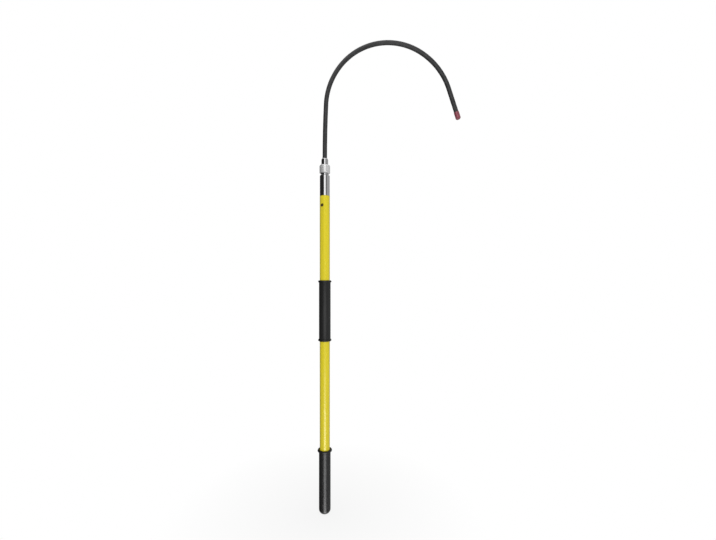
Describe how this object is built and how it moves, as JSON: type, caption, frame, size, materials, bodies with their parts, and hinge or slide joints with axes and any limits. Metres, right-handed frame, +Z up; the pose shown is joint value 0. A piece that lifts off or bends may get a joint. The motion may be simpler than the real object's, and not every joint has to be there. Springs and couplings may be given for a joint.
{
  "type": "insulated rescue hook",
  "caption": "Insulating pole with two rubber grips and a union-nut head that carries a sheathed steel rod bent into a wide crook.",
  "frame": {"origin": "centre of the closed lower end's flat face", "axes": "+Z up the pole's axis, +X towards the hook's tip, the front faces -Y"},
  "size_m": [0.4573, 0.046, 1.5105],
  "materials": {
    "yellow_glass_fibre": "glossy yellow glass-fibre tube",
    "foam": "closed-cell foam",
    "seal_rubber": "black rubber seal",
    "black_plastic": "black moulded plastic",
    "grip_rubber": "satin black rubber",
    "bright_metal": "bright plated metal",
    "steel": "plain steel",
    "dark_steel": "blackened steel",
    "brass": "plain brass",
    "washer_plastic": "pale slip washer",
    "sheath_plastic": "black insulating sheath",
    "red_cap": "red moulded cap"
  },
  "bodies": {
    "pole": {"pole_tube": "yellow_glass_fibre", "foam_core": "foam", "foam_seal": "seal_rubber", "butt_plug": "black_plastic", "lower_grip": "grip_rubber", "middle_grip": "grip_rubber", "head_adapter": "bright_metal", "adapter_seal": "seal_rubber", "index_pin": "steel", "button_retainer": "brass", "button_spring": "steel"},
    "button": {"snap_button": "dark_steel"},
    "hook": {"hook_ferrule": "bright_metal", "thrust_washer": "washer_plastic", "ferrule_pin": "steel", "hook_core": "steel", "hook_sheath": "sheath_plastic", "tip_plug": "black_plastic", "tip_cap": "red_cap"},
    "nut_carrier": {"nut_friction_ring": "seal_rubber"},
    "nut": {"coupling_nut": "bright_metal"}
  },
  "joints": [
    {"name": "button_press", "type": "slide", "parent": "pole", "child": "button", "axis": [0.4695, 0.8829, 0], "range_m": [0, 0.0048], "stiffness_N_per_m": 1500, "springref_m": -0.003, "deforming": ["button_spring"]},
    {"name": "hook_lift", "type": "slide", "parent": "pole", "child": "hook", "axis": [0, 0, 1], "range_m": [0, 0.06]},
    {"name": "nut_climb", "type": "slide", "parent": "hook", "child": "nut_carrier", "axis": [0, 0, 1], "range_m": [0, 0.009]},
    {"name": "nut_turn", "type": "hinge", "parent": "nut_carrier", "child": "nut", "pos_m": [0, 0, 1.1045], "axis": [0, 0, 1], "range_deg": [0, 2160]}
  ],
  "couplings": [
    {"joint": "nut_climb", "follows": "nut_turn", "m_per_rad": 0.00023873}
  ]
}
